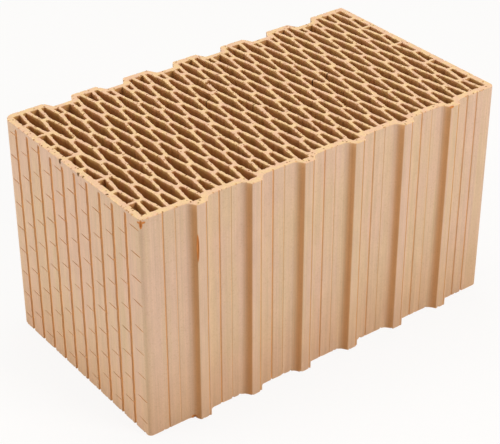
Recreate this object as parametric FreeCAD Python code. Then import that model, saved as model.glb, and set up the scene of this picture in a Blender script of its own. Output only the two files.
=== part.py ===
import FreeCAD, Part
import math
import os

# Hollow clay block: one extruded and fired piece. X runs along its length, Y from the front face
# with the tongues to the back face with the grooves, Z up along the holes. The origin is at the
# middle of the box around it, on the floor. All sizes are in millimetres.

# Overall sizes
block_length = 440.0  # between the two end faces
block_width = 247.0  # from the front face to the back face, without the tongues
block_height = 249.0
front_left_radius = 5.0  # rounding of the four upright corners
front_right_radius = 5.0
back_right_radius = 2.5
back_left_radius = 10.0

# Outer walls, from the face to the holes behind it
end_wall = 7.0
front_wall = 7.0
back_wall = 7.0
groove_wall = 5.5  # behind the bottom of a groove
tongue_flank_wall = 5.5  # beside the hole in a tongue
tongue_tip_wall = 8.0  # in front of that hole

# Holes: long rhombi with round tips, each row half a column beside the next
column_pitch = 21.0
row_pitch = 26.6
web = 3.4  # slanted web between two holes
node_gap = 4.0  # clay between the tips of two holes in one column
tip_radius = 2.2
hole_corner_radius = 1.0  # where an outer wall cuts a hole off
end_web = 3.0  # thin cross web in the holes along the end walls
smallest_hole = 4.0  # a cut-off hole that is shorter than this stays solid

# Tongues on the front face and grooves in the back face, one for every few columns of holes
columns_per_tongue = 3
tongue_depth = 8.5
tongue_base = 20.6
tongue_tip = 10.6
tongue_base_radius = 4.0
tongue_tip_radius = 1.2
groove_depth = 11.0
groove_mouth = 33.0
groove_bottom = 21.0
groove_mouth_radius = 1.5
groove_bottom_radius = 2.5

# Fine upright lines in pairs between the tongues, and a single one near each end of the back face
line_width = 2.0
line_depth = 1.3
line_spacing = 13.4

# Upright plaster keys in both end faces: steep towards the back, a gentle slope towards the front
key_pitch = 22.0
key_steep = 0.4
key_bottom = 1.0
key_slope = 3.6
key_depth = 2.2
key_edge = 20.0  # least distance from the block's edge to a key's middle

# Places that follow from the sizes
half_length = block_length / 2
overall_width = block_width + tongue_depth
tip_y = -overall_width / 2
front_y = tip_y + tongue_depth
back_y = overall_width / 2
front_inside = front_y + front_wall
back_inside = back_y - back_wall
groove_inside = back_y - groove_depth - groove_wall
end_inside = half_length - end_wall

# A hole's side is the tangent of its two tips that leaves one web to the hole beside it
tip_height = row_pitch - node_gap / 2
tip_rise = 2 * tip_height - row_pitch - 2 * tip_radius
tip_run = column_pitch / 2
side_angle = math.acos((web + 2 * tip_radius) / math.hypot(tip_rise, tip_run)) - math.atan2(tip_rise, tip_run)
side_slope = math.tan(side_angle)
half_width = side_slope * (tip_height - tip_radius) + tip_radius / math.cos(side_angle)
apex_height = half_width / side_slope

# Numbers of rows and columns that fit between the walls
row_count = int((back_inside - front_inside) // row_pitch)
row_middle = (front_inside + back_inside) / 2
column_count = int(2 * end_inside // column_pitch)
tongue_count = column_count // columns_per_tongue
tongue_pitch = columns_per_tongue * column_pitch
first_tongue = (column_count - 1 - columns_per_tongue * (tongue_count - 1)) // 2


def row_y(row):
    return row_middle + (row - (row_count + 1) / 2) * row_pitch


def column_x(column):
    return (column - (column_count - 1) / 2) * column_pitch


tongue_places = [column_x(first_tongue + columns_per_tongue * number) for number in range(tongue_count)]


# A corner is (x, y, rounding radius). A wire runs anticlockwise through its corners, with lines and arcs.
def tangent_length(before, corner, after):
    towards = FreeCAD.Vector(before[0] - corner[0], before[1] - corner[1], 0)
    onwards = FreeCAD.Vector(after[0] - corner[0], after[1] - corner[1], 0)
    half_angle = towards.getAngle(onwards) / 2
    room_before = towards.Length * (0.48 if before[2] else 0.96)
    room_after = onwards.Length * (0.48 if after[2] else 0.96)
    length = min(corner[2] / math.tan(half_angle), room_before, room_after)
    return length, half_angle, towards.normalize(), onwards.normalize()


def rounded_corner(before, corner, after):
    point = FreeCAD.Vector(corner[0], corner[1], 0)
    if not corner[2]:
        return [point]
    length, half_angle, towards, onwards = tangent_length(before, corner, after)
    radius = length * math.tan(half_angle)
    inwards = (towards + onwards).normalize()
    middle = point + inwards * (radius / math.sin(half_angle) - radius)
    return [point + towards * length, middle, point + onwards * length]


def rounded_wire(corners):
    runs = []
    for index, corner in enumerate(corners):
        after = corners[(index + 1) % len(corners)]
        runs.append(rounded_corner(corners[index - 1], corner, after))
    edges = []
    for index, run in enumerate(runs):
        edges.append(Part.makeLine(runs[index - 1][-1], run[0]))
        if len(run) == 3:
            edges.append(Part.Arc(*run).toShape())
    return Part.Wire(edges)


# Keeps the part of a hole on one side of a straight wall: normal . point <= limit
def cut_off(corners, normal_x, normal_y, limit):
    kept = []
    for index, corner in enumerate(corners):
        before = corners[index - 1]
        out_before = normal_x * before[0] + normal_y * before[1] - limit
        out = normal_x * corner[0] + normal_y * corner[1] - limit
        if out_before * out < 0:
            share = out_before / (out_before - out)
            x = before[0] + share * (corner[0] - before[0])
            y = before[1] + share * (corner[1] - before[1])
            kept.append((x, y, hole_corner_radius))
        if out <= 0:
            kept.append(corner)
    return kept


def rhombus(x, y):
    return [
        (x, y - apex_height, tip_radius),
        (x + half_width, y, 0),
        (x, y + apex_height, tip_radius),
        (x - half_width, y, 0),
    ]


# The hole under a groove goes straight up from its widest row to the wall
def groove_hole(x, y):
    return [
        (x, y - apex_height, tip_radius),
        (x + half_width, y, 0),
        (x + half_width, y + apex_height, 0),
        (x - half_width, y + apex_height, 0),
        (x - half_width, y, 0),
    ]


# The hole in a tongue narrows with the tongue's flanks
def tongue_hole(x, y):
    flank_run = (tongue_base - tongue_tip) / 2
    flank = math.hypot(flank_run, tongue_depth)
    corners = rhombus(x, y)
    for side in (-1, 1):
        normal_x = side * tongue_depth / flank
        normal_y = -flank_run / flank
        on_flank = normal_x * (x + side * tongue_base / 2) + normal_y * front_y
        corners = cut_off(corners, normal_x, normal_y, on_flank - tongue_flank_wall)
    return cut_off(corners, 0, -1, -(tip_y + tongue_tip_wall))


# The two holes beside a groove's own hole leave a web to its upright sides, and have flat lower ends
def beside_groove(x, y):
    corners = rhombus(x, y)
    for place in tongue_places:
        if 0 < abs(x - place) < groove_mouth / 2:
            side = math.copysign(1, x - place)
            corners = cut_off(corners, -side, 0, -side * place - half_width - web)
            corners = cut_off(corners, 0, -1, tip_height - y)
    return corners


def over_groove(x):
    return any(abs(x - place) < groove_mouth / 2 for place in tongue_places)


def inner_hole(x, y):
    in_line = any(abs(x - place) < column_pitch / 4 for place in tongue_places)
    if in_line and y < front_inside:
        return tongue_hole(x, y)
    top = groove_inside if over_groove(x) else back_inside
    corners = rhombus(x, y)
    if y + tip_height > top:
        corners = groove_hole(x, y) if in_line else beside_groove(x, y)
        corners = cut_off(corners, 0, 1, top)
    return cut_off(corners, 0, -1, -front_inside)


# One of the two holes that share a place along an end wall, above or below the thin cross web
def end_hole(side, x, y, half):
    tip_half_width = half_width - side_slope * tip_height
    corners = [
        (side * end_inside, y + half * end_web / 2, hole_corner_radius),
        (x - side * (half_width - side_slope * end_web / 2), y + half * end_web / 2, hole_corner_radius),
        (x - side * tip_half_width, y + half * tip_height, hole_corner_radius),
        (side * end_inside, y + half * tip_height, hole_corner_radius),
    ]
    if side == half:
        corners.reverse()
    return cut_off(cut_off(corners, 0, 1, back_inside), 0, -1, -front_inside)


def hole_outlines():
    outlines = []
    for row in range(row_count + 2):
        y = row_y(row)
        if row % 2 == 0:
            outlines += [inner_hole(column_x(column), y) for column in range(column_count)]
            continue
        outlines += [inner_hole(column_x(column + 0.5), y) for column in range(column_count - 1)]
        for side in (-1, 1):
            x = side * column_count * column_pitch / 2
            outlines += [end_hole(side, x, y, half) for half in (-1, 1)]
    return [outline for outline in outlines if outline and hole_height(outline) >= smallest_hole]


def hole_height(corners):
    heights = [corner[1] for corner in corners]
    return max(heights) - min(heights)


# The outer outline, anticlockwise from the front left corner
def line_groove(x, y, inwards):
    half = inwards * line_width / 2
    return [(x - half, y, 0), (x, y + inwards * line_depth, 0), (x + half, y, 0)]


def line_fits(x):
    largest_radius = max(front_left_radius, front_right_radius, back_left_radius, back_right_radius)
    return abs(x) + line_width < half_length - largest_radius


def line_places():
    middles = [tongue_places[0] - tongue_pitch / 2] + [place + tongue_pitch / 2 for place in tongue_places]
    places = [middle + side * line_spacing / 2 for middle in middles for side in (-1, 1)]
    return [place for place in places if line_fits(place)]


def tongue(x):
    return [
        (x - tongue_base / 2, front_y, tongue_base_radius),
        (x - tongue_tip / 2, tip_y, tongue_tip_radius),
        (x + tongue_tip / 2, tip_y, tongue_tip_radius),
        (x + tongue_base / 2, front_y, tongue_base_radius),
    ]


def groove(x):
    return [
        (x + groove_mouth / 2, back_y, groove_mouth_radius),
        (x + groove_bottom / 2, back_y - groove_depth, groove_bottom_radius),
        (x - groove_bottom / 2, back_y - groove_depth, groove_bottom_radius),
        (x - groove_mouth / 2, back_y, groove_mouth_radius),
    ]


def front_side():
    features = [(place, tongue(place)) for place in tongue_places]
    features += [(place, line_groove(place, front_y, 1)) for place in line_places()]
    corners = [(-half_length, front_y, front_left_radius)]
    for place, feature in sorted(features):
        corners += feature
    return corners + [(half_length, front_y, front_right_radius)]


def back_side():
    features = [(place, groove(place)) for place in tongue_places]
    lines = line_places()
    features += [(place, line_groove(place, back_y, -1)) for place in (lines[0], lines[-1])]
    corners = [(half_length, back_y, back_right_radius)]
    for place, feature in sorted(features, reverse=True):
        corners += feature
    return corners + [(-half_length, back_y, back_left_radius)]


def end_side(side):
    key_count = int((block_width - 2 * key_edge) // key_pitch) + 1
    middle = (front_y + back_y) / 2
    deep = side * (half_length - key_depth)
    corners = []
    for number in range(key_count):
        steep_y = middle + (number - (key_count - 1) / 2) * key_pitch + (key_bottom + key_slope) / 2
        corners += [
            (side * half_length, steep_y - key_bottom - key_slope, 0),
            (deep, steep_y - key_bottom, 0),
            (deep, steep_y, 0),
            (side * half_length, steep_y + key_steep, 0),
        ]
    return corners[::side]


def clay_block():
    section = Part.Face(rounded_wire(front_side() + end_side(1) + back_side() + end_side(-1)))
    section.cutHoles([rounded_wire(corners).reversed() for corners in hole_outlines()])
    return section.extrude(FreeCAD.Vector(0, 0, block_height))


os.makedirs("parts", exist_ok=True)
block = clay_block()
block.exportStep("parts/clay_block.step")
print("holes", len(hole_outlines()), "clay in litres", round(block.Volume / 1e6, 3))
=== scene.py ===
import bpy
import bmesh
import math
import random
from mathutils import Matrix, Vector, kdtree, noise


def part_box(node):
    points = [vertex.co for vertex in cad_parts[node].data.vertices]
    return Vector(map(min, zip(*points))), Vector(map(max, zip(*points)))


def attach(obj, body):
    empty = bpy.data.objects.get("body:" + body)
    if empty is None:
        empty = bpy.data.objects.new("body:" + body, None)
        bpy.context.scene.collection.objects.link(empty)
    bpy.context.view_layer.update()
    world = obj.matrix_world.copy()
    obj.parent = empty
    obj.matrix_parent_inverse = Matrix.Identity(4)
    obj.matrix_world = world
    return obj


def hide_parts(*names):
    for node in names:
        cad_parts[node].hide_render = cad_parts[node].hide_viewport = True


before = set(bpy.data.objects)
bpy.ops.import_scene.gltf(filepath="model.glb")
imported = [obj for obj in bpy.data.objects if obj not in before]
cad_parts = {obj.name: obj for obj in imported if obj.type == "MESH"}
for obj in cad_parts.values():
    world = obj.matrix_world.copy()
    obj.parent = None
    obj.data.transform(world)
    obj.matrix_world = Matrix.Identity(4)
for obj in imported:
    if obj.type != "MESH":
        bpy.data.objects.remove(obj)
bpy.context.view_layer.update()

mm = 0.001
low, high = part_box("clay_block")


# a socket that takes part in Python sums
class Wire:
    def __init__(self, graph, socket):
        self.graph = graph
        self.socket = socket

    def other(self, name):  # another output of the same node
        return Wire(self.graph, self.socket.node.outputs[name])

    def maths(self, operation, left, right):
        isVector = any(isinstance(v, tuple) or isinstance(v, Wire) and v.socket.type in ("VECTOR", "RGBA")
                       for v in (left, right))
        kind = "ShaderNodeVectorMath" if isVector else "ShaderNodeMath"
        return self.graph.node(kind, {"operation": operation}, {0: left, 1: right})

    def __add__(self, value):
        return self.maths("ADD", self, value)

    def __radd__(self, value):
        return self.maths("ADD", value, self)

    def __sub__(self, value):
        return self.maths("SUBTRACT", self, value)

    def __rsub__(self, value):
        return self.maths("SUBTRACT", value, self)

    def __mul__(self, value):
        return self.maths("MULTIPLY", self, value)

    def __rmul__(self, value):
        return self.maths("MULTIPLY", value, self)

    def __gt__(self, value):
        return self.maths("GREATER_THAN", self, value)

    def __lt__(self, value):
        return self.maths("LESS_THAN", self, value)

    def __or__(self, value):  # the larger of two masks
        return self.maths("MAXIMUM", self, value)

    def __abs__(self):
        return self.maths("ABSOLUTE", self, 0.0)


class Graph:
    def __init__(self, tree):
        self.tree = tree

    # one node: its type, its settings, then the values or links of its sockets
    def node(self, kind, settings=None, sockets=None, out=0):
        made = self.tree.nodes.new(kind)
        for name, value in (settings or {}).items():
            setattr(made, name, value)
        for name, value in (sockets or {}).items():
            self.feed(made.inputs[name], value)
        return Wire(self, made.outputs[out]) if len(made.outputs) else made

    def feed(self, socket, value):
        if isinstance(value, (list, Wire)):
            for wire in value if isinstance(value, list) else [value]:
                self.tree.links.new(wire.socket, socket)
        elif socket.type in ("VECTOR", "RGBA") and isinstance(value, (int, float)):
            socket.default_value = (value,) * len(socket.default_value)
        else:
            socket.default_value = value

    def inputs(self, kinds):  # named inputs of a geometry tree
        for name, kind in kinds.items():
            self.tree.interface.new_socket(name, in_out="INPUT", socket_type="NodeSocket" + kind)
        self.tree.interface.new_socket("Geometry", in_out="OUTPUT", socket_type="NodeSocketGeometry")
        group = self.tree.nodes.new("NodeGroupInput")
        return {name: Wire(self, group.outputs[name]) for name in kinds}

    def output(self, geometry, material):
        whole = self.node("GeometryNodeRealizeInstances", None, {"Geometry": geometry})
        whole = self.node("GeometryNodeSetMaterial", None, {"Geometry": whole, "Material": material})
        self.node("NodeGroupOutput", None, {"Geometry": whole})


def geometryGraph(name):
    return Graph(bpy.data.node_groups.new(name, "GeometryNodeTree"))


def emptyGraph(holder):  # for a material or a world
    holder.use_nodes = True
    holder.node_tree.nodes.clear()
    return Graph(holder.node_tree)


def newPiece(name, points, edges, faces):
    mesh = bpy.data.meshes.new(name)
    mesh.from_pydata(points, edges, faces)
    piece = bpy.data.objects.new(name, mesh)
    bpy.context.scene.collection.objects.link(piece)
    return piece


def settle(piece, modifier):  # the evaluated shape becomes the piece's plain mesh
    shown = piece.evaluated_get(bpy.context.evaluated_depsgraph_get())
    mesh = bpy.data.meshes.new_from_object(shown)
    piece.modifiers.remove(modifier)
    piece.data = mesh


def growTree(piece, graph, values):
    modifier = piece.modifiers.new(graph.tree.name, "NODES")
    modifier.node_group = graph.tree
    for item in graph.tree.interface.items_tree:
        if item.in_out == "INPUT" and item.name in values:
            modifier[item.identifier] = values[item.name]
    settle(piece, modifier)
    print(graph.tree.name, len(piece.data.vertices), "points")


def carve(piece, cutter):
    modifier = piece.modifiers.new("carve", "BOOLEAN")
    modifier.operation = "DIFFERENCE"
    modifier.solver = "MANIFOLD"
    modifier.object = cutter
    settle(piece, modifier)
    print("carved", cutter.name, len(piece.data.polygons), "faces")
    bpy.data.objects.remove(cutter)


# camera at the photograph's angle
view = dict(
    azimuth=-37.0, elevation=32.0, roll=-0.05,  # degrees
    distance=1.608, right=0.0035, up=0.018,  # metres, from the middle of the block
    focal=1516.0,  # in pixels of the frame below
    frameWidth=500, sensor=36.0,
)


def placeCamera():
    azimuth = math.radians(view["azimuth"])
    elevation = math.radians(view["elevation"])
    back = Vector((math.sin(azimuth) * math.cos(elevation), -math.cos(azimuth) * math.cos(elevation),
                   math.sin(elevation)))
    right = Vector((math.cos(azimuth), math.sin(azimuth), 0))
    up = back.cross(right)
    turn = math.radians(view["roll"])
    right, up = (right * math.cos(turn) + up * math.sin(turn),
                 up * math.cos(turn) - right * math.sin(turn))
    middle = Vector(((low.x + high.x) / 2, block["faceMiddle"], (low.z + high.z) / 2))
    eye = bpy.data.objects.new("camera", bpy.data.cameras.new("camera"))
    eye.data.sensor_width = view["sensor"]
    eye.data.lens = view["focal"] * view["sensor"] / view["frameWidth"]
    place = middle - right * view["right"] - up * view["up"] + back * view["distance"]
    turned = Matrix((right, up, back)).transposed().to_4x4()
    eye.matrix_world = Matrix.Translation(place) @ turned
    bpy.context.scene.collection.objects.link(eye)
    bpy.context.scene.camera = eye
    print("camera placed")


# the section of the block: sizes in metres, places from the frame
block = dict(
    tongueDepth=8.5 * mm, tongueBase=22.6 * mm, tongueTip=12.6 * mm,
    tongueBaseRadius=8 * mm, tongueTipRadius=1.2 * mm,
    grooveDepth=11 * mm, grooveMouth=33 * mm, grooveBottom=21 * mm,
    grooveMouthRadius=1.5 * mm, grooveBottomRadius=2.5 * mm,
    frontLeftRadius=5 * mm, frontRightRadius=5 * mm, backRightRadius=2.5 * mm, backLeftRadius=10 * mm,
    endWall=7 * mm, frontWall=7 * mm, backWall=7 * mm, grooveWall=5.5 * mm,
    tongueFlankWall=5.5 * mm, tongueTipWall=8 * mm,
    columnPitch=21 * mm, rowPitch=26.6 * mm, columns=20, rows=8,
    columnsPerTongue=3, firstTongue=2, tongues=6,
    web=3.4 * mm, nodeGap=4 * mm, tipRadius=2.2 * mm, tipPoints=8, holeCornerRadius=1 * mm,
    endWeb=3 * mm, smallestHole=4 * mm,
    lineWidth=2 * mm, lineDepth=1.3 * mm, lineSpacing=13.4 * mm, lineNarrowest=0.4,
    lineFirst=0.95, lineSecond=0.4, lineLast=1.15,  # strengths in a pair, and in the last pair
    tipLineInset=2.2 * mm, tipLineShare=0.5,  # a fine line beside each tongue's right edge
    step=1.45 * mm,  # spacing of points along an outline
    bend=22,  # most degrees between points round a corner
    cornerShare=0.48,  # of an edge, for the rounding at one end
    swell=0.22 * mm, swellScale=90.0,  # soft flutes on the outer faces
    sharpAngle=32,  # degrees, above which an edge is shaded sharp
)
block["faceMiddle"] = (low.y + block["tongueDepth"] + high.y) / 2
halfLength = (high.x - low.x) / 2
height = high.z - low.z
tipY, backY = low.y, high.y
frontY = tipY + block["tongueDepth"]
frontInside = frontY + block["frontWall"]
backInside = backY - block["backWall"]
grooveInside = backY - block["grooveDepth"] - block["grooveWall"]
endInside = halfLength - block["endWall"]

# a hole's side touches both its round tips and leaves one web to the hole beside it
tipHeight = block["rowPitch"] - block["nodeGap"] / 2
tipRise = 2 * tipHeight - block["rowPitch"] - 2 * block["tipRadius"]
tipRun = block["columnPitch"] / 2
tipSpan = math.hypot(tipRise, tipRun)
sideAngle = math.acos((block["web"] + 2 * block["tipRadius"]) / tipSpan) - math.atan2(tipRise, tipRun)
sideSlope = math.tan(sideAngle)
halfWidth = sideSlope * (tipHeight - block["tipRadius"]) + block["tipRadius"] / math.cos(sideAngle)
apexHeight = halfWidth / sideSlope


def rowY(row):
    return (frontInside + backInside) / 2 + (row - (block["rows"] + 1) / 2) * block["rowPitch"]


def columnX(column):
    return (column - (block["columns"] - 1) / 2) * block["columnPitch"]


tonguePlaces = [columnX(block["firstTongue"] + block["columnsPerTongue"] * n)
                for n in range(block["tongues"])]


# corners are (x, y, radius); the loop follows them with round corners and a point every step
def roundCorner(before, corner, after):
    point = Vector(corner[:2])
    if not corner[2]:
        return [point]
    towards = Vector(before[:2]) - point
    onwards = Vector(after[:2]) - point
    halfAngle = towards.angle(onwards) / 2
    room = min(edge.length * block["cornerShare"] * (1 if end[2] else 2)
               for edge, end in ((towards, before), (onwards, after)))
    reach = min(corner[2] / math.tan(halfAngle), room)
    radius = reach * math.tan(halfAngle)
    towards.normalize()
    onwards.normalize()
    centre = point + (towards + onwards).normalized() * radius / math.sin(halfAngle)
    start = point + towards * reach - centre
    turn = math.pi - 2 * halfAngle
    if towards.cross(onwards) > 0:
        turn = -turn
    count = max(2, math.ceil(abs(turn) / math.radians(block["bend"])))
    return [centre + Matrix.Rotation(turn * i / count, 2) @ start for i in range(count + 1)]


def outlineLoop(corners, step):
    bends = []
    for index, corner in enumerate(corners):
        bends += roundCorner(corners[index - 1], corner, corners[(index + 1) % len(corners)])
    points = []
    for index, point in enumerate(bends):
        after = bends[(index + 1) % len(bends)]
        count = max(1, round((after - point).length / step))
        points += [point.lerp(after, i / count) for i in range(count)]
    return points


def cutOff(corners, normalX, normalY, limit):  # keeps normal . point <= limit
    kept = []
    for index, corner in enumerate(corners):
        before = corners[index - 1]
        outBefore = normalX * before[0] + normalY * before[1] - limit
        out = normalX * corner[0] + normalY * corner[1] - limit
        if outBefore * out < 0:
            share = outBefore / (outBefore - out)
            x, y = (before[axis] + share * (corner[axis] - before[axis]) for axis in (0, 1))
            kept.append((x, y, block["holeCornerRadius"]))
        if out <= 0:
            kept.append(corner)
    return kept


def rhombus(x, y):
    tip = block["tipRadius"]
    return [(x, y - apexHeight, tip), (x + halfWidth, y, 0), (x, y + apexHeight, tip), (x - halfWidth, y, 0)]


def grooveHole(x, y):  # straight up from its widest row
    left, right, top = x - halfWidth, x + halfWidth, y + apexHeight
    return [(x, y - apexHeight, block["tipRadius"]), (right, y, 0), (right, top, 0),
            (left, top, 0), (left, y, 0)]


def tongueHole(x, y):  # narrows with the tongue's flanks
    run = (block["tongueBase"] - block["tongueTip"]) / 2
    flank = math.hypot(run, block["tongueDepth"])
    corners = rhombus(x, y)
    for side in (-1, 1):
        normalX, normalY = side * block["tongueDepth"] / flank, -run / flank
        onFlank = normalX * (x + side * block["tongueBase"] / 2) + normalY * frontY
        corners = cutOff(corners, normalX, normalY, onFlank - block["tongueFlankWall"])
    return cutOff(corners, 0, -1, -(tipY + block["tongueTipWall"]))


def besideGroove(x, y):  # leaves a web to the groove's own hole
    corners = rhombus(x, y)
    for place in tonguePlaces:
        if 0 < abs(x - place) < block["grooveMouth"] / 2:
            side = math.copysign(1, x - place)
            corners = cutOff(corners, -side, 0, -side * place - halfWidth - block["web"])
            corners = cutOff(corners, 0, -1, tipHeight - y)
    return corners


def wallHole(x, y):  # a hole that an outer wall cuts off
    inLine = any(abs(x - place) < block["columnPitch"] / 4 for place in tonguePlaces)
    if inLine and y < frontInside:
        return tongueHole(x, y)
    overGroove = any(abs(x - place) < block["grooveMouth"] / 2 for place in tonguePlaces)
    top = grooveInside if overGroove else backInside
    corners = rhombus(x, y)
    if y + tipHeight > top:
        corners = cutOff(grooveHole(x, y) if inLine else besideGroove(x, y), 0, 1, top)
    return cutOff(corners, 0, -1, -frontInside)


def endHole(side, x, y, half):  # two share a place along an end wall, with a thin cross web between
    radius = block["holeCornerRadius"]
    near, far = y + half * block["endWeb"] / 2, y + half * tipHeight
    corners = [
        (side * endInside, near, radius),
        (x - side * (halfWidth - sideSlope * block["endWeb"] / 2), near, radius),
        (x - side * (halfWidth - sideSlope * tipHeight), far, radius),
        (side * endInside, far, radius),
    ]
    if side == half:
        corners.reverse()
    return cutOff(cutOff(corners, 0, 1, backInside), 0, -1, -frontInside)


fullRows = range(2, block["rows"])  # rows that no wall cuts


def wallHoles():
    holes = []
    for row in range(block["rows"] + 2):
        y = rowY(row)
        odd = row % 2
        if row not in fullRows:
            holes += [wallHole(columnX(column + odd / 2), y) for column in range(block["columns"] - odd)]
        if odd:
            edge = block["columns"] * block["columnPitch"] / 2
            holes += [endHole(side, side * edge, y, half) for side in (-1, 1) for half in (-1, 1)]
    return [hole for hole in holes if hole and spread(hole) >= block["smallestHole"]]


def spread(corners):
    return max(c[1] for c in corners) - min(c[1] for c in corners)


def lineGroove(x, y, inwards, strength):
    narrowest = block["lineNarrowest"]
    half = inwards * block["lineWidth"] / 2 * min(1, narrowest + (1 - narrowest) * strength)
    return [(x - half, y, 0), (x, y + inwards * block["lineDepth"] * strength, 0), (x + half, y, 0)]


def linePlaces():
    pitch = block["columnsPerTongue"] * block["columnPitch"]
    middles = [tonguePlaces[0] - pitch / 2] + [place + pitch / 2 for place in tonguePlaces]
    return [middle + side * block["lineSpacing"] / 2 for middle in middles for side in (-1, 1)]


def lineStrength(number, count):  # the second line of a pair is faint, apart from the last pair
    if number >= count - 2:
        return block["lineLast"]
    return block["lineSecond"] if number % 2 else block["lineFirst"]


def tongue(x, lined):
    base, tip = block["tongueBase"] / 2, block["tongueTip"] / 2
    line = lineGroove(x + tip - block["tipLineInset"], tipY, 1, block["tipLineShare"]) if lined else []
    return [(x - base, frontY, block["tongueBaseRadius"]), (x - tip, tipY, block["tongueTipRadius"]), *line,
            (x + tip, tipY, block["tongueTipRadius"]), (x + base, frontY, block["tongueBaseRadius"])]


def groove(x):
    mouth, bottom, deep = block["grooveMouth"] / 2, block["grooveBottom"] / 2, backY - block["grooveDepth"]
    return [(x + mouth, backY, block["grooveMouthRadius"]), (x + bottom, deep, block["grooveBottomRadius"]),
            (x - bottom, deep, block["grooveBottomRadius"]), (x - mouth, backY, block["grooveMouthRadius"])]


def outerCorners(lined):
    lines = linePlaces() if lined else []
    front = [(x, tongue(x, lined)) for x in tonguePlaces]
    front += [(x, lineGroove(x, frontY, 1, lineStrength(n, len(lines)))) for n, x in enumerate(lines)]
    back = [(x, groove(x)) for x in tonguePlaces]
    back += [(x, lineGroove(x, backY, -1, 1)) for x in lines[:1] + lines[-1:]]
    corners = [(-halfLength, frontY, block["frontLeftRadius"])]
    for x, feature in sorted(front):
        corners += feature
    corners += [(halfLength, frontY, block["frontRightRadius"]),
                (halfLength, backY, block["backRightRadius"])]
    for x, feature in sorted(back, reverse=True):
        corners += feature
    return corners + [(-halfLength, backY, block["backLeftRadius"])]


def swollen(points):  # soft flutes, always inwards of the true outline
    scale = block["swellScale"]
    moved = []
    for index, point in enumerate(points):
        along = points[(index + 1) % len(points)] - points[index - 1]
        inwards = Vector((-along.y, along.x)).normalized()
        flute = 0.5 + 0.5 * noise.noise((point.x * scale, point.y * scale, 0.5))
        moved.append(point + inwards * block["swell"] * flute)
    return moved


# the lattice block as a rule: outlines filled, drawn up, with wavering webs and worn edges
clay = dict(
    waver=2.3 * mm, waverScale=210.0,  # how far and how finely the webs wander
    waverDetail=3.0, waverRoughness=0.6,
    holeShift=0.35 * mm, holeTurn=0.02, holeScale=0.04,  # from one hole to the next
    wear=0.42 * mm, wearScale=420.0, wearDetail=2.0, wearBand=0.75 * mm,  # rounding of the cut edges
    wearInset=1.6, wearSink=5.0,  # times the wear, the sink for each metre from mid height
    weld=0.01 * mm,
    seed=7,
)


def latticeGraph():
    g = geometryGraph("perforatedClay")
    given = g.inputs({
        "Geometry": "Geometry", "Column Pitch": "Float", "Row Pitch": "Float", "Columns": "Int",
        "First Row": "Float", "Hole Width": "Float", "Hole Reach": "Float", "Tip Radius": "Float",
        "Step": "Float", "Height": "Float", "Waver": "Float", "Waver Scale": "Float",
        "Hole Shift": "Float", "Hole Turn": "Float", "Hole Scale": "Float",
        "Wear": "Float", "Wear Scale": "Float", "Wear Band": "Float", "Seed": "Int", "Clay": "Material",
    })
    holes = fullHoles(g, given)
    walls = g.node("GeometryNodeMeshToCurve", None, {"Mesh": given["Geometry"]})
    loops = g.node("GeometryNodeJoinGeometry", None, {"Geometry": [walls, holes]})
    flat = g.node("GeometryNodeFillCurve", {"mode": "TRIANGLES"}, {"Curve": wavered(g, given, loops)})
    g.output(wornEdges(g, given, drawnUp(g, given, flat)), given["Clay"])
    return g


def fullHoles(g, given):
    kite = g.node("GeometryNodeCurvePrimitiveQuadrilateral", {"mode": "KITE"}, {
        "Width": given["Hole Width"],
        "Bottom Height": given["Hole Reach"], "Top Height": given["Hole Reach"]})
    hole = g.node("GeometryNodeFilletCurve", {"mode": "POLY"}, {
        "Curve": kite, "Count": block["tipPoints"], "Radius": given["Tip Radius"], "Limit Radius": True})
    hole = g.node("GeometryNodeResampleCurve", {"mode": "LENGTH"}, {"Curve": hole, "Length": given["Step"]})
    hole = g.node("GeometryNodeStoreNamedAttribute", {"data_type": "FLOAT", "domain": "POINT"}, {
        "Geometry": hole, "Name": "waver", "Value": 1.0})
    places = []
    for odd in (0, 1):  # two grids, half a column and one row apart
        columns = given["Columns"] - odd
        grid = g.node("GeometryNodeMeshGrid", None, {
            "Size X": (columns - 1) * given["Column Pitch"],
            "Size Y": given["Row Pitch"] * (len(fullRows) - 2),
            "Vertices X": columns, "Vertices Y": len(fullRows) // 2})
        middle = given["First Row"] + given["Row Pitch"] * (odd + len(fullRows) / 2 - 1)
        moved = g.node("ShaderNodeCombineXYZ", None, {"Y": middle})
        places.append(g.node("GeometryNodeTransform", None, {"Geometry": grid, "Translation": moved}))
    points = g.node("GeometryNodeJoinGeometry", None, {"Geometry": places})
    shift = spreadOf(g, given, (1.0, 1.0, 0.0), 0) * given["Hole Shift"]
    points = g.node("GeometryNodeSetPosition", None, {"Geometry": points, "Offset": shift})
    turn = spreadOf(g, given, (0.0, 0.0, 1.0), 1) * given["Hole Turn"]
    size = spreadOf(g, given, (1.0, 1.0, 0.0), 2) * given["Hole Scale"] + (1.0, 1.0, 1.0)
    placed = g.node("GeometryNodeInstanceOnPoints", None, {
        "Points": points, "Instance": hole, "Rotation": turn, "Scale": size})
    return g.node("GeometryNodeRealizeInstances", None, {"Geometry": placed})


def spreadOf(g, given, reach, draw):  # a random vector from -reach to reach
    least = tuple(-r for r in reach)
    return g.node("FunctionNodeRandomValue", {"data_type": "FLOAT_VECTOR"}, {
        0: least, 1: reach, "Seed": given["Seed"] + draw})


def wavered(g, given, loops):
    place = g.node("GeometryNodeInputPosition")
    wander = g.node("ShaderNodeTexNoise", {"noise_dimensions": "2D"}, {
        "Vector": place, "Scale": given["Waver Scale"],
        "Detail": clay["waverDetail"], "Roughness": clay["waverRoughness"]}, out="Color")
    share = g.node("GeometryNodeInputNamedAttribute", {"data_type": "FLOAT"}, {"Name": "waver"})
    offset = (wander - 0.5) * (1.0, 1.0, 0.0) * (given["Waver"] * share)
    return g.node("GeometryNodeSetPosition", None, {"Geometry": loops, "Offset": offset})


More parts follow.
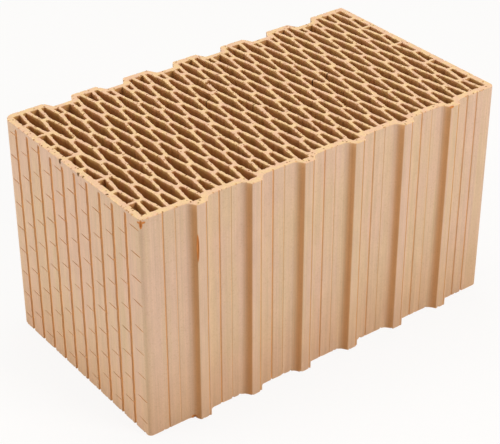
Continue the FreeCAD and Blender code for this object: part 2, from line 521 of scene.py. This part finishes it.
def drawnUp(g, given, flat):  # the section is drawn up in stages, so that both cut edges can wear
    bottom = g.node("GeometryNodeFlipFaces", None, {"Mesh": flat})
    band = given["Wear Band"]
    mesh, top = flat, None
    for rise in (band, given["Height"] - band * 2.0, band):
        offset = g.node("ShaderNodeCombineXYZ", None, {"Z": rise})
        sockets = {"Mesh": mesh, "Offset": offset, "Individual": False}
        if top:
            sockets["Selection"] = top
        mesh = g.node("GeometryNodeExtrudeMesh", {"mode": "FACES"}, sockets)
        top = mesh.other("Top")
    whole = g.node("GeometryNodeJoinGeometry", None, {"Geometry": [mesh, bottom]})
    return g.node("GeometryNodeMergeByDistance", None, {"Geometry": whole, "Distance": clay["weld"]})


def wornEdges(g, given, whole):
    place = g.node("GeometryNodeInputPosition")
    depth = g.node("ShaderNodeSeparateXYZ", None, {"Vector": place}, out="Z")
    away = depth - given["Height"] * 0.5
    onCut = abs(away) > given["Height"] * 0.5 - given["Wear Band"] * 0.5
    outwards = g.node("GeometryNodeInputNormal") * (1.0, 1.0, 0.0)
    outwards = g.node("ShaderNodeVectorMath", {"operation": "NORMALIZE"}, {0: outwards})
    rough = g.node("ShaderNodeTexNoise", {"noise_dimensions": "3D"}, {
        "Vector": place, "Scale": given["Wear Scale"], "Detail": clay["wearDetail"]}, out="Fac")
    inset = outwards * (given["Wear"] * (0.0 - rough) * clay["wearInset"])
    sink = away * given["Wear"] * (0.0 - rough) * clay["wearSink"]
    sunk = g.node("ShaderNodeCombineXYZ", None, {"Z": sink})
    return g.node("GeometryNodeSetPosition", None, {
        "Geometry": whole, "Selection": onCut, "Offset": inset + sunk})


def makeBlock(material):
    outer = swollen(outlineLoop(outerCorners(True), block["step"]))
    loops = [outer] + [outlineLoop(hole, block["step"]) for hole in wallHoles()]
    points, edges, shares = [], [], []
    for loop in loops:
        first = len(points)
        points += [(p.x, p.y, low.z) for p in loop]
        edges += [(first + i, first + (i + 1) % len(loop)) for i in range(len(loop))]
        shares += [0.0 if loop is outer else 1.0] * len(loop)
    piece = newPiece("hollowClayBlock", points, edges, [])
    piece.data.attributes.new("waver", "FLOAT", "POINT").data.foreach_set("value", shares)
    growTree(piece, latticeGraph(), {
        "Column Pitch": block["columnPitch"], "Row Pitch": block["rowPitch"], "Columns": block["columns"],
        "First Row": rowY(fullRows[0]), "Hole Width": 2 * halfWidth, "Hole Reach": apexHeight,
        "Tip Radius": block["tipRadius"], "Step": block["step"], "Height": height,
        "Waver": clay["waver"], "Waver Scale": clay["waverScale"], "Hole Shift": clay["holeShift"],
        "Hole Turn": clay["holeTurn"], "Hole Scale": clay["holeScale"], "Wear": clay["wear"],
        "Wear Scale": clay["wearScale"], "Wear Band": clay["wearBand"],
        "Seed": clay["seed"], "Clay": material,
    })
    return piece


# upright plaster keys in both end faces, smeared shut near the top
keys = dict(
    pitch=22 * mm, count=10, depth=1.9 * mm, steep=0.4 * mm, bottom=0.6 * mm, slope=3.6 * mm,
    crown=0.45,  # how deep the gentle slope is at half its run
    closed=2.5 * mm, fade=2.5 * mm, uneven=5 * mm,  # bare height at the top, run-out, how far they differ
    shallowest=0.02,  # share of the depth at the closed end
    rings=90, proud=1.5 * mm,
    steepFlare=1.5, slopeFlare=1.1,  # how far each flank runs on outside the face
    waver=1.7 * mm, waverScale=70.0, waverDetail=3.0, waverSqueeze=(0.3, 0.3, 1.0), seed=3,
)


def keyProfile(side):  # depth and place along Y
    steepY = (keys["bottom"] + keys["slope"]) / 2
    slopeY = steepY - keys["bottom"]
    profile = [
        (-keys["proud"], steepY + keys["steep"] * keys["steepFlare"]),
        (0, steepY + keys["steep"]),
        (keys["depth"], steepY),
        (keys["depth"], slopeY),
        (keys["depth"] * keys["crown"], slopeY - keys["slope"] / 2),
        (0, slopeY - keys["slope"]),
        (-keys["proud"], slopeY - keys["slope"] * keys["slopeFlare"]),
    ]
    return [(-side * depth, y) for depth, y in profile]


def keyCutter(side, material):
    profile = keyProfile(side)
    size = len(profile)
    top = height - keys["closed"]
    points, faces = [], []
    for ring in range(keys["rings"] + 1):
        z = -keys["proud"] + (top + keys["proud"]) * ring / keys["rings"]
        share = min(1, (top - z) / keys["fade"] + keys["shallowest"])
        points += [(depth if depth * side > 0 else depth * share, y, z) for depth, y in profile]
        if ring:
            first = (ring - 1) * size
            faces += [(first + i, first + (i + 1) % size, first + size + (i + 1) % size, first + size + i)
                      for i in range(size)]
    faces += [tuple(range(size)), tuple(range(keys["rings"] * size, (keys["rings"] + 1) * size))]
    piece = newPiece("plasterKeys", points, [], faces)
    closeUp(piece)
    growTree(piece, keyGraph(), {
        "Pitch": keys["pitch"], "Count": keys["count"], "Face X": side * halfLength,
        "First Y": block["faceMiddle"] - keys["pitch"] * (keys["count"] - 1) / 2,
        "Uneven": keys["uneven"], "Waver": keys["waver"], "Waver Scale": keys["waverScale"],
        "Seed": keys["seed"], "Clay": material,
    })
    return piece


def closeUp(piece):  # faces of a closed shape outwards
    shape = bmesh.new()
    shape.from_mesh(piece.data)
    bmesh.ops.recalc_face_normals(shape, faces=shape.faces)
    shape.to_mesh(piece.data)
    shape.free()


def keyGraph():
    g = geometryGraph("plasterKeys")
    given = g.inputs({
        "Geometry": "Geometry", "Pitch": "Float", "Count": "Int", "Face X": "Float", "First Y": "Float",
        "Uneven": "Float", "Waver": "Float", "Waver Scale": "Float", "Seed": "Int", "Clay": "Material",
    })
    start = g.node("ShaderNodeCombineXYZ", None, {"X": given["Face X"], "Y": given["First Y"]})
    step = g.node("ShaderNodeCombineXYZ", None, {"Y": given["Pitch"]})
    row = g.node("GeometryNodeMeshLine", None, {
        "Count": given["Count"], "Start Location": start, "Offset": step})
    sunk = g.node("FunctionNodeRandomValue", {"data_type": "FLOAT"}, {
        2: given["Uneven"] * -1.0, 3: 0.0, "Seed": given["Seed"]}, out=1)
    row = g.node("GeometryNodeSetPosition", None, {
        "Geometry": row, "Offset": g.node("ShaderNodeCombineXYZ", None, {"Z": sunk})})
    placed = g.node("GeometryNodeInstanceOnPoints", None, {"Points": row, "Instance": given["Geometry"]})
    whole = g.node("GeometryNodeRealizeInstances", None, {"Geometry": placed})
    place = g.node("GeometryNodeInputPosition")
    wander = g.node("ShaderNodeTexNoise", None, {
        "Vector": place * keys["waverSqueeze"], "Scale": given["Waver Scale"],
        "Detail": keys["waverDetail"]}, out="Color")
    offset = (wander - 0.5) * (0.0, 1.0, 0.0) * given["Waver"]
    g.output(g.node("GeometryNodeSetPosition", None, {"Geometry": whole, "Offset": offset}), given["Clay"])
    return g


# short scored marks across the strips between the keys, each ending at the next key
scores = dict(
    halfLength=9.2 * mm, halfHeight=0.75 * mm, depth=1.5 * mm,
    step=27.8 * mm, topOdd=237 * mm, topEven=222.4 * mm, levels=9,
    towardsKey=-4.2 * mm, shift=(0, 1.0 * mm, 0.7 * mm), lean=0.08, tilt=0.03,
    least=0.7, most=1.2, lengthChange=0.3, heightChange=0.4,  # strength, and what follows it by how much
    segments=8, rings=9, seed=11,
)


def scoreCutter(side, material):
    points = newPiece("scoredMarks", [(0, 0, 0)], [], [])
    strips = keys["count"] + 1
    growTree(points, scoreGraph(), {
        "Face X": side * halfLength, "Middle Y": block["faceMiddle"] + scores["towardsKey"],
        "Pitch": keys["pitch"], "Strips": strips, "Step": scores["step"], "Levels": scores["levels"],
        "Top Odd": scores["topOdd"], "Top Even": scores["topEven"],
        "Half Length": scores["halfLength"], "Half Height": scores["halfHeight"],
        "Depth": scores["depth"], "Shift": scores["shift"], "Lean": scores["lean"], "Tilt": scores["tilt"],
        "Least": scores["least"], "Most": scores["most"], "Seed": scores["seed"], "Clay": material,
    })
    return points


def scoreGraph():
    g = geometryGraph("scoredMarks")
    given = g.inputs({
        "Geometry": "Geometry", "Face X": "Float", "Middle Y": "Float", "Pitch": "Float", "Strips": "Int",
        "Step": "Float", "Levels": "Int", "Top Odd": "Float", "Top Even": "Float", "Half Length": "Float",
        "Half Height": "Float", "Depth": "Float", "Shift": "Vector", "Lean": "Float", "Tilt": "Float",
        "Least": "Float", "Most": "Float", "Seed": "Int", "Clay": "Material",
    })
    ball = g.node("GeometryNodeMeshUVSphere", None, {
        "Segments": scores["segments"], "Rings": scores["rings"], "Radius": 1.0})
    size = g.node("ShaderNodeCombineXYZ", None, {
        "X": given["Depth"], "Y": given["Half Height"], "Z": given["Half Length"]})
    gouge = g.node("GeometryNodeTransform", None, {"Geometry": ball, "Scale": size})
    gouge = g.node("GeometryNodeTransform", None, {"Geometry": gouge, "Rotation": (math.pi / 2, 0.0, 0.0)})
    grids = []
    # every second strip of marks lies half a step lower
    for even, top in ((0, given["Top Odd"]), (1, given["Top Even"])):
        strips = (given["Strips"] + (1 - 2 * even)) * 0.5
        levels = given["Levels"] - even
        grid = g.node("GeometryNodeMeshGrid", None, {
            "Size X": (strips - 1) * given["Pitch"] * 2.0, "Size Y": (levels - 1) * given["Step"],
            "Vertices X": strips, "Vertices Y": levels})
        middle = g.node("ShaderNodeCombineXYZ", None, {
            "X": given["Face X"], "Y": given["Middle Y"], "Z": top - (levels - 1) * given["Step"] * 0.5})
        grids.append(g.node("GeometryNodeTransform", None, {
            "Geometry": grid, "Translation": middle, "Rotation": (math.pi / 2, 0.0, math.pi / 2)}))
    points = g.node("GeometryNodeJoinGeometry", None, {"Geometry": grids})
    shift = spreadOf(g, given, (1.0, 1.0, 1.0), 0) * given["Shift"]
    points = g.node("GeometryNodeSetPosition", None, {"Geometry": points, "Offset": shift})
    lean = g.node("ShaderNodeCombineXYZ", None, {"X": given["Lean"]})
    tilt = spreadOf(g, given, (1.0, 0.0, 0.0), 1) * given["Tilt"] + lean
    strength = g.node("FunctionNodeRandomValue", {"data_type": "FLOAT"}, {
        2: given["Least"], 3: given["Most"], "Seed": given["Seed"] + 2}, out=1)
    size = g.node("ShaderNodeCombineXYZ", None, {
        "X": strength,
        "Y": strength * scores["lengthChange"] + (1 - scores["lengthChange"]),
        "Z": strength * scores["heightChange"] + (1 - scores["heightChange"])})
    placed = g.node("GeometryNodeInstanceOnPoints", None, {
        "Points": points, "Instance": gouge, "Rotation": tilt, "Scale": size})
    g.output(placed, given["Clay"])
    return g


# small nicks along the cut edges, most of them on the outer ones, and too far apart to meet
nicks = dict(
    radius=0.75 * mm, least=(0.5, 0.5, 0.5), most=(1.7, 1.7, 1.4), turn=(3.0, 3.0, 3.0),
    share=0.022, outer=4.5, foot=2.0,  # of the edge points, and how many times that outside and at the foot
    growth=1.3, topLess=0.6,  # nicks in the outer edges are larger, less so at the top
    rim=4 * mm, band=0.6, apart=6.5 * mm, seed=5,  # band is a share of the worn one
)


def nickCutter(piece, material):
    cutter = bpy.data.objects.new("edgeNicks", piece.data.copy())
    bpy.context.scene.collection.objects.link(cutter)
    growTree(cutter, nickGraph(), {
        "Height": height, "Radius": nicks["radius"], "Least": nicks["least"], "Most": nicks["most"],
        "Share": nicks["share"], "Outer": nicks["outer"], "Half X": halfLength - nicks["rim"],
        "Front Y": frontY + nicks["rim"], "Back Y": backY - nicks["rim"], "Apart": nicks["apart"],
        "Seed": nicks["seed"], "Clay": material,
    })
    return cutter


def nickGraph():
    g = geometryGraph("edgeNicks")
    given = g.inputs({
        "Geometry": "Geometry", "Height": "Float", "Radius": "Float", "Least": "Vector", "Most": "Vector",
        "Share": "Float", "Outer": "Float", "Half X": "Float", "Front Y": "Float", "Back Y": "Float",
        "Apart": "Float", "Seed": "Int", "Clay": "Material",
    })
    depth = g.node("ShaderNodeSeparateXYZ", None, {"Vector": g.node("GeometryNodeInputPosition")}, out="Z")
    middle = given["Height"] * 0.5
    onCut = abs(depth - middle) > middle - clay["wearBand"] * nicks["band"]
    atTop = depth > middle
    onEnd = abs(depth.other("X")) > given["Half X"]
    onFront = depth.other("Y") < given["Front Y"]
    onBack = depth.other("Y") > given["Back Y"]
    outer = onEnd | onFront | onBack
    picked = g.node("FunctionNodeRandomValue", {"data_type": "BOOLEAN"}, {
        "Probability": given["Share"] * (atTop + given["Outer"] * outer * (nicks["foot"] - atTop)),
        "Seed": given["Seed"]}, out=3)
    chosen = g.node("FunctionNodeBooleanMath", {"operation": "AND"}, {0: onCut, 1: picked})
    points = g.node("GeometryNodeMeshToPoints", {"mode": "VERTICES"}, {
        "Mesh": given["Geometry"], "Selection": chosen})
    points = g.node("GeometryNodeMergeByDistance", None, {"Geometry": points, "Distance": given["Apart"]})
    ball = g.node("GeometryNodeMeshIcoSphere", None, {"Radius": given["Radius"], "Subdivisions": 1})
    size = g.node("FunctionNodeRandomValue", {"data_type": "FLOAT_VECTOR"}, {
        0: given["Least"], 1: given["Most"], "Seed": given["Seed"] + 1})
    size = size * (outer * (nicks["growth"] - atTop * nicks["topLess"]) + 1.0)
    turn = spreadOf(g, given, nicks["turn"], 2)
    placed = g.node("GeometryNodeInstanceOnPoints", None, {
        "Points": points, "Instance": ball, "Rotation": turn, "Scale": size})
    g.output(placed, given["Clay"])
    return g


# damage that shows: chips, and cracks through a web, as (place, half sizes) in millimetres
damage = dict(
    fresh=[
        ((-218.5, -117.8, 243.4), (1.3, 1.3, 3.8)),  # front left corner
        ((-219.9, -116.2, 245.2), (0.7, 1.9, 1.0)), ((-216.4, -119.1, 245.4), (1.9, 0.7, 1.0)),
        ((-163.7, -127.5, 202.0), (1.3, 1.0, 12.5)),  # first tongue's edge
        ((-168.3, -121.8, 1.5), (3.5, 2.0, 2.5)),
        ((151.7, -127.4, 249.0), (2.6, 1.6, 1.6)), ((37.5, -24.5, 249.0), (1.6, 1.3, 1.6)),
    ],
    # chips painted dark as the shade inside them
    shadedPits=[
        ((-219.6, 18.5, 248.4), (1.6, 1.6, 4.2)), ((-220.0, -14.5, 248.6), (1.6, 1.8, 2.4)),
        ((-219.4, -22.0, 249.2), (1.5, 1.3, 1.4)), ((-218.6, -63.0, 249.2), (1.2, 1.2, 1.6)),
    ],
    old=[
        ((-216.8, -69.0, 249.4), (1.3, 1.1, 1.4)), ((-218.0, 45.5, 249.4), (1.2, 1.0, 1.6)),
        ((170.0, -121.5, 249.4), (1.5, 1.2, 1.6)), ((176.5, -120.6, 249.2), (1.2, 1.0, 1.5)),
        ((80.0, -120.5, 249.4), (1.4, 1.2, 1.4)), ((109.0, -121.0, 249.4), (1.2, 1.0, 1.4)),
        ((-14.0, 65.0, 249.0), (3.2, 2.6, 5.0)), ((-13.0, 61.5, 249.4), (2.4, 2.0, 2.4)),  # a broken web
    ],
    # cracks, carved and painted dark as the shade inside them
    cracks=[
        ((-37.6, 32.2, 246.5), (3.6, 0.6, 9.0)), ((-4.0, -2.8, 246.5), (3.6, 0.6, 9.0)),
        ((78.0, 3.8, 246.5), (3.6, 0.6, 8.0)), ((98.5, 6.0, 247.0), (3.6, 0.6, 6.0)),
    ],
    ragged=0.28, seed=21,
    halo=(1.35, 1.05),  # where its colour starts and is full, in half sizes
    spotShadeShare=0.8,
)


def damageCutter(material):
    draw = random.Random(damage["seed"])
    shape = bmesh.new()
    for place, size in damage["fresh"] + damage["shadedPits"] + damage["old"] + damage["cracks"]:
        made = bmesh.ops.create_icosphere(shape, subdivisions=2, radius=1.0)["verts"]
        for vert in made:
            rough = 1 + damage["ragged"] * draw.uniform(-1, 1)
            vert.co = Vector([(p + c * s * rough) * mm for p, c, s in zip(place, vert.co, size)])
    mesh = bpy.data.meshes.new("damage")
    shape.to_mesh(mesh)
    shape.free()
    mesh.materials.append(material)
    cutter = bpy.data.objects.new("damage", mesh)
    bpy.context.scene.collection.objects.link(cutter)
    return cutter


# what the material needs to know: cell walls, and recesses in the outer faces, both of which carry painted
# shade
marks = dict(recess=(0.2 * mm, 0.9 * mm), inside=(3.6 * mm, 4.6 * mm), spacing=0.4 * mm)


def markPlaces(piece):
    outline = outlineLoop(outerCorners(False), marks["spacing"])
    tree = kdtree.KDTree(len(outline))
    for index, point in enumerate(outline):
        tree.insert((point.x, point.y, 0), index)
    tree.balance()
    values = {"inside": [], "recess": []}
    for vert in piece.data.vertices:
        gap = tree.find((vert.co.x, vert.co.y, 0))[2]
        inside = ramp(gap, *marks["inside"])
        values["inside"].append(inside)
        values["recess"].append(ramp(gap, *marks["recess"]) * (1 - inside))
    for name, numbers in values.items():
        piece.data.attributes.new(name, "FLOAT", "POINT").data.foreach_set("value", numbers)


def ramp(value, start, end):
    return min(1.0, max(0.0, (value - start) / (end - start)))


def srgb(red, green, blue):
    def linear(value):
        value /= 255
        return value / 12.92 if value <= 0.04045 else ((value + 0.055) / 1.055) ** 2.4
    return (linear(red), linear(green), linear(blue), 1.0)


# fired clay: pale skin on the outer faces and yellower speckled cut faces, with painted shade: brown cell
# walls darker deeper down, browner tongue flanks, warmer recesses, a darker foot, dark pits and cracks
finish = dict(
    pink=srgb(216, 184, 161), yellow=srgb(214, 186, 154), low=srgb(209, 168, 131), flankShade=srgb(214, 164, 116),
    cellShadeRed=srgb(198, 142, 90), cellShadeOlive=srgb(190, 144, 84), cellDeepShade=srgb(118, 64, 26), cellShadeFade=26 * mm,
    cutPink=srgb(243, 201, 166), cutYellow=srgb(242, 207, 157),
    pore=srgb(166, 116, 72), recess=srgb(231, 182, 126), fresh=srgb(210, 138, 74), spotShade=srgb(124, 92, 54),
    bands=(75.0, 0.03, 3.0, 0.6), streaks=(525.0, 0.012, 1.0, 0.5),  # scale, upright scale, detail, roughness
    patches=(11.0, 1.0, 2.0, 0.5), grain=(900.0, 1.0, 1.0, 0.65), mottle=(110.0, 0.3, 2.0, 0.5),
    bandShare=0.6, skinRange=(0.38, 0.62), tintRange=(0.35, 0.65),
    poreScale=320.0, poreEdge=(0.42, 0.2), poreCount=(0.67, 0.71), poreOnCut=0.85, poreElsewhere=0.1,
    topBand=(1.0 * mm, 0.4 * mm), footBand=(0.9 * mm, 0.4 * mm),  # from the skin to the cut face
    lowShadeReach=110 * mm, lowShadeShare=0.5, flankShadeFull=3 * mm, flankShadeEdge=(0.1 * mm, 0.6 * mm),
    shade=0.69, grainShade=0.22, streakShade=0.2, mottleShade=0.18,
    roughness=0.86, specular=0.25, bump=0.4, bumpDepth=0.3 * mm, grainRelief=0.5, streakRelief=0.6,
)


def smooth(g, value, start, end):
    return g.node("ShaderNodeMapRange", {"interpolation_type": "SMOOTHSTEP"}, {
        "Value": value, "From Min": start, "From Max": end, "To Min": 0.0, "To Max": 1.0})


def blend(g, share, first, second):
    return g.node("ShaderNodeMix", {"data_type": "RGBA"}, {0: share, 6: first, 7: second}, out=2)


def noiseOf(g, place, name):
    scale, upright, detail, roughness = finish[name]
    return g.node("ShaderNodeTexNoise", None, {
        "Vector": place * (1.0, 1.0, upright), "Scale": scale,
        "Detail": detail, "Roughness": roughness}, out="Fac")


def marked(g, name):
    return g.node("ShaderNodeAttribute", {"attribute_name": name}, None, out="Fac")


def spotMask(g, place, spots):  # one where a chip or crack shows
    mask = None
    for middle, size in spots:
        offset = (place - tuple(c * mm for c in middle)) * tuple(1 / (s * mm) for s in size)
        away = g.node("ShaderNodeVectorMath", {"operation": "LENGTH"}, {0: offset}, out="Value")
        spot = smooth(g, away, *damage["halo"])
        mask = mask | spot if mask else spot
    return mask


def clayMaterial():
    material = bpy.data.materials.new("firedClay")
    g = emptyGraph(material)
    place = g.node("ShaderNodeTexCoord", None, None, out="Object")
    z = g.node("ShaderNodeSeparateXYZ", None, {"Vector": place}, out="Z")
    y = z.other("Y")
    bands = noiseOf(g, place, "bands")
    patches = noiseOf(g, place, "patches")
    grain = noiseOf(g, place, "grain")
    streaks = noiseOf(g, place, "streaks")
    mottle = noiseOf(g, place, "mottle")
    pores = g.node("ShaderNodeTexVoronoi", {"feature": "F1"}, {
        "Vector": place, "Scale": finish["poreScale"], "Randomness": 1.0}, out="Distance")
    poreMask = smooth(g, pores, *finish["poreEdge"]) * smooth(g, pores.other("Color"), *finish["poreCount"])
    tint = smooth(g, mottle, *finish["tintRange"])
    atTop = smooth(g, z, *[height - band for band in finish["topBand"]])
    cut = atTop | smooth(g, z, *finish["footBand"])
    tone = bands * finish["bandShare"] + patches * (1 - finish["bandShare"])
    skin = blend(g, smooth(g, tone, *finish["skinRange"]), finish["pink"], finish["yellow"])
    # painted shade: the outer faces turn darker and more orange towards the foot
    skin = blend(g, smooth(g, z, finish["lowShadeReach"], 0.0) * finish["lowShadeShare"], skin, finish["low"])
    # painted shade on the tongues' flanks, strongest near the tip and fading towards the root
    onFlank = smooth(g, y, frontY, tipY + finish["flankShadeFull"])
    onFlank = onFlank * smooth(g, y, *[tipY + edge for edge in finish["flankShadeEdge"]])
    skin = blend(g, onFlank, skin, finish["flankShade"])  # painted shade: the tongues' flanks are darker and browner
    # painted shade: a warmer, darker tint in the recesses of the outer faces
    base = blend(g, marked(g, "recess"), skin, finish["recess"])
    # painted shade: brown cell walls, darker still further down the holes
    cell = blend(g, tint, finish["cellShadeRed"], finish["cellShadeOlive"])
    cell = blend(g, smooth(g, z, height - finish["cellShadeFade"], height), finish["cellDeepShade"], cell)
    base = blend(g, marked(g, "inside"), base, cell)
    base = blend(g, cut, base, blend(g, tint, finish["cutPink"], finish["cutYellow"]))
    shade = finish["shade"] + grain * finish["grainShade"] + streaks * finish["streakShade"]
    shade = shade + mottle * finish["mottleShade"]
    base = blend(g, spotMask(g, place, damage["fresh"]), base * shade, finish["fresh"])
    # painted shade: the dark pits and the cracks
    spotShade = spotMask(g, place, damage["shadedPits"] + damage["cracks"]) * damage["spotShadeShare"]
    base = blend(g, spotShade, base, finish["spotShade"])
    base = blend(g, poreMask * (cut * finish["poreOnCut"] + finish["poreElsewhere"]), base, finish["pore"])
    relief = grain * finish["grainRelief"] + streaks * (1.0 - cut) * finish["streakRelief"]
    normal = g.node("ShaderNodeBump", None, {
        "Strength": finish["bump"], "Distance": finish["bumpDepth"], "Height": relief})
    shader = g.node("ShaderNodeBsdfPrincipled", None, {
        "Base Color": base, "Roughness": finish["roughness"], "Normal": normal,
        "Specular IOR Level": finish["specular"]})
    g.node("ShaderNodeOutputMaterial", None, {"Surface": shader})
    return material


# studio: a pale floor, warm soft surroundings and softboxes as (place, aim, side, power)
studio = dict(
    floorSize=30.0, floor=(0.86, 0.80, 0.72, 1.0), whiteness=0.88, white=(1, 1, 1, 1),
    inset=12 * mm,  # from the block's sides, where the floor under it goes dark
    world=(1.0, 0.93, 0.85, 1.0), worldLight=0.3,
    boxes={
        "keyBox": ((1.0, -2.3, 1.6), (0, 0, 0.12), 1.2, 46),
        "leftBox": ((-2.3, 0.9, 0.75), (-0.1, 0, 0.12), 1.0, 28),
        "topBox": ((0.2, 0.5, 2.4), (0, 0, 0.2), 1.4, 23),
    },
)


def softbox(name, place, aim, side, power):
    lamp = bpy.data.objects.new(name, bpy.data.lights.new(name, "AREA"))
    lamp.data.size = side
    lamp.data.energy = power
    lamp.location = place
    lamp.rotation_euler = (Vector(aim) - Vector(place)).to_track_quat("-Z", "Y").to_euler()
    bpy.context.scene.collection.objects.link(lamp)


def floorMaterial():
    material = bpy.data.materials.new("paleFloor")
    g = emptyGraph(material)
    matt = g.node("ShaderNodeBsdfDiffuse", None, {"Color": studio["floor"]})
    white = g.node("ShaderNodeEmission", None, {"Color": studio["white"], "Strength": 1.0})
    seen = g.node("ShaderNodeLightPath", None, None, out="Is Camera Ray")
    place = g.node("ShaderNodeTexCoord", None, None, out="Object")
    across = g.node("ShaderNodeSeparateXYZ", None, {"Vector": place})
    under = 1.0
    for axis, reach in (("X", halfLength), ("Y", backY)):  # dark under the block, as seen down its holes
        under = (abs(across.other(axis)) < reach - studio["inset"]) * under
    shown = seen * studio["whiteness"] * (1.0 - under)
    surface = g.node("ShaderNodeMixShader", None, {0: shown, 1: matt, 2: white})
    g.node("ShaderNodeOutputMaterial", None, {"Surface": surface})
    return material


def makeFloor():
    half = studio["floorSize"] / 2
    corners = [(-half, -half, 0), (half, -half, 0), (half, half, 0), (-half, half, 0)]
    floor = newPiece("studioFloor", corners, [], [(0, 1, 2, 3)])
    floor.data.materials.append(floorMaterial())


def makeWorld():
    world = bpy.data.worlds.new("studio")
    g = emptyGraph(world)
    soft = g.node("ShaderNodeBackground", None, {"Color": studio["world"], "Strength": studio["worldLight"]})
    bright = g.node("ShaderNodeBackground", None, {"Color": studio["white"], "Strength": 1.0})
    seen = g.node("ShaderNodeLightPath", None, None, out="Is Camera Ray")
    surface = g.node("ShaderNodeMixShader", None, {0: seen, 1: soft, 2: bright})
    g.node("ShaderNodeOutputWorld", None, {"Surface": surface})
    bpy.context.scene.world = world


placeCamera()
firedClay = clayMaterial()
hollowBlock = makeBlock(firedClay)
cutNicks = nickCutter(hollowBlock, firedClay)
for end in (-1, 1):
    carve(hollowBlock, keyCutter(end, firedClay))
    carve(hollowBlock, scoreCutter(end, firedClay))
carve(hollowBlock, cutNicks)
carve(hollowBlock, damageCutter(firedClay))
markPlaces(hollowBlock)
print("block done", sum(len(face.vertices) - 2 for face in hollowBlock.data.polygons), "triangles")

makeFloor()
makeWorld()
for lampName, lampBox in studio["boxes"].items():
    softbox(lampName, *lampBox)
print("studio lit")

hollowBlock.data.shade_smooth()
hollowBlock.data.set_sharp_from_angle(angle=math.radians(block["sharpAngle"]))
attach(hollowBlock, "root")
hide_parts("clay_block")

bpy.context.scene.view_settings.view_transform = "Standard"
bpy.context.view_layer.update()
print("finished")
